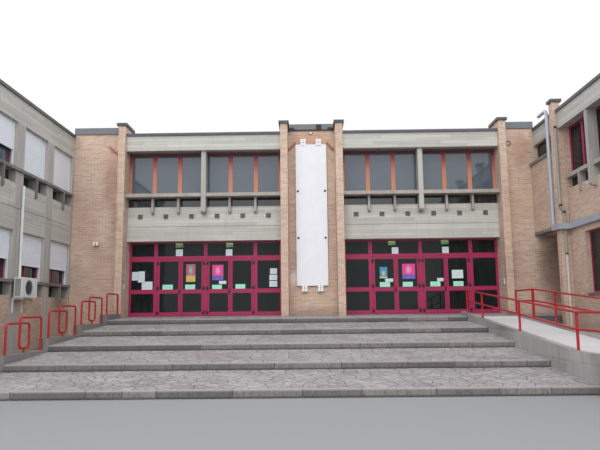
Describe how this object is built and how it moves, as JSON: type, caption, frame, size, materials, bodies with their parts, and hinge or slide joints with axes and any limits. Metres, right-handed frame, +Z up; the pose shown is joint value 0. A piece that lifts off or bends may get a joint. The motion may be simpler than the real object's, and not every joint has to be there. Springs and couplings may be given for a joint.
{
  "type": "two-storey school building",
  "caption": "Hollow brick and concrete school with an entrance front between two wings, wide steps, a ramp and glazed double doors that swing outwards.",
  "frame": {"origin": "on the ground on the entrance axis, in the plane of the faces of the brick piers", "axes": "+X to the right along the entrance front, +Y into the building, +Z up"},
  "size_m": [33.8, 29.7278, 8.88],
  "materials": {
    "porphyry": "rough split stone",
    "board_concrete": "board marked",
    "ramp_concrete": "brushed",
    "floor_concrete": "screed",
    "roof_felt": "mineral felt",
    "brick": "coursed brick",
    "dark_metal": "folded sheet",
    "red_paint": "gloss paint",
    "white_panel": "smooth",
    "zinc_sheet": "zinc coated sheet",
    "grey_pipe": "weathered paint",
    "white_enamel": "enamel",
    "crimson_frame": "satin paint",
    "window_glass": "clear",
    "shutter_slats": "satin slats"
  },
  "bodies": {
    "building": {"entrance_steps": "porphyry", "landing": "porphyry", "curb_wall": "board_concrete", "curb_hoops": "red_paint", "ramp": "ramp_concrete", "ramp_walls": "board_concrete", "ramp_handrails": "red_paint", "brick_piers": "brick", "pier_caps": "dark_metal", "side_walls": "brick", "recess_wall": "brick", "wall_panel": "white_panel", "panel_clamps": "board_concrete", "top_bands": "board_concrete", "entrance_copings": "dark_metal", "entrance_spandrels": "board_concrete", "sill_shelves": "board_concrete", "concrete_fins": "board_concrete", "upper_window_frames": "crimson_frame", "upper_window_glass": "window_glass", "left_entrance_frame": "crimson_frame", "right_entrance_frame": "crimson_frame", "entrance_glass": "window_glass", "ground_floor": "floor_concrete", "upper_floor": "floor_concrete", "roof_slabs": "roof_felt", "left_wing_pilasters": "board_concrete", "left_wing_plinth": "brick", "left_wing_panels": "board_concrete", "left_wing_ledges": "board_concrete", "left_wing_frames": "crimson_frame", "left_wing_glass": "window_glass", "left_wing_shutters": "shutter_slats", "right_wing_walls": "brick", "right_wing_frames": "crimson_frame", "right_wing_glass": "window_glass", "right_wing_sills": "board_concrete", "air_duct": "zinc_sheet", "downpipe": "grey_pipe", "cooling_unit": "white_enamel", "outer_walls": "brick", "end_walls": "brick", "outer_glass": "window_glass", "roof_copings": "dark_metal"},
    "door_1": {"door_leaf_1": "crimson_frame", "door_glass_1": "window_glass"},
    "door_2": {"door_leaf_2": "crimson_frame", "door_glass_2": "window_glass"},
    "door_3": {"door_leaf_3": "crimson_frame", "door_glass_3": "window_glass"},
    "door_4": {"door_leaf_4": "crimson_frame", "door_glass_4": "window_glass"},
    "door_5": {"door_leaf_5": "crimson_frame", "door_glass_5": "window_glass"},
    "door_6": {"door_leaf_6": "crimson_frame", "door_glass_6": "window_glass"},
    "door_7": {"door_leaf_7": "crimson_frame", "door_glass_7": "window_glass"},
    "door_8": {"door_leaf_8": "crimson_frame", "door_glass_8": "window_glass"}
  },
  "joints": [
    {"name": "door_1_hinge", "type": "hinge", "parent": "building", "child": "door_1", "pos_m": [-5.957, 0.938, 1.43], "axis": [0, 0, -1], "range_deg": [0, 90]},
    {"name": "door_2_hinge", "type": "hinge", "parent": "building", "child": "door_2", "pos_m": [-4.191, 0.938, 1.43], "axis": [0, 0, 1], "range_deg": [0, 90]},
    {"name": "door_3_hinge", "type": "hinge", "parent": "building", "child": "door_3", "pos_m": [-4.049, 0.938, 1.43], "axis": [0, 0, -1], "range_deg": [0, 90]},
    {"name": "door_4_hinge", "type": "hinge", "parent": "building", "child": "door_4", "pos_m": [-2.283, 0.938, 1.43], "axis": [0, 0, 1], "range_deg": [0, 90]},
    {"name": "door_5_hinge", "type": "hinge", "parent": "building", "child": "door_5", "pos_m": [2.283, 0.938, 1.43], "axis": [0, 0, -1], "range_deg": [0, 90]},
    {"name": "door_6_hinge", "type": "hinge", "parent": "building", "child": "door_6", "pos_m": [4.049, 0.938, 1.43], "axis": [0, 0, 1], "range_deg": [0, 90]},
    {"name": "door_7_hinge", "type": "hinge", "parent": "building", "child": "door_7", "pos_m": [4.191, 0.938, 1.43], "axis": [0, 0, -1], "range_deg": [0, 90]},
    {"name": "door_8_hinge", "type": "hinge", "parent": "building", "child": "door_8", "pos_m": [5.957, 0.938, 1.43], "axis": [0, 0, 1], "range_deg": [0, 90]}
  ]
}
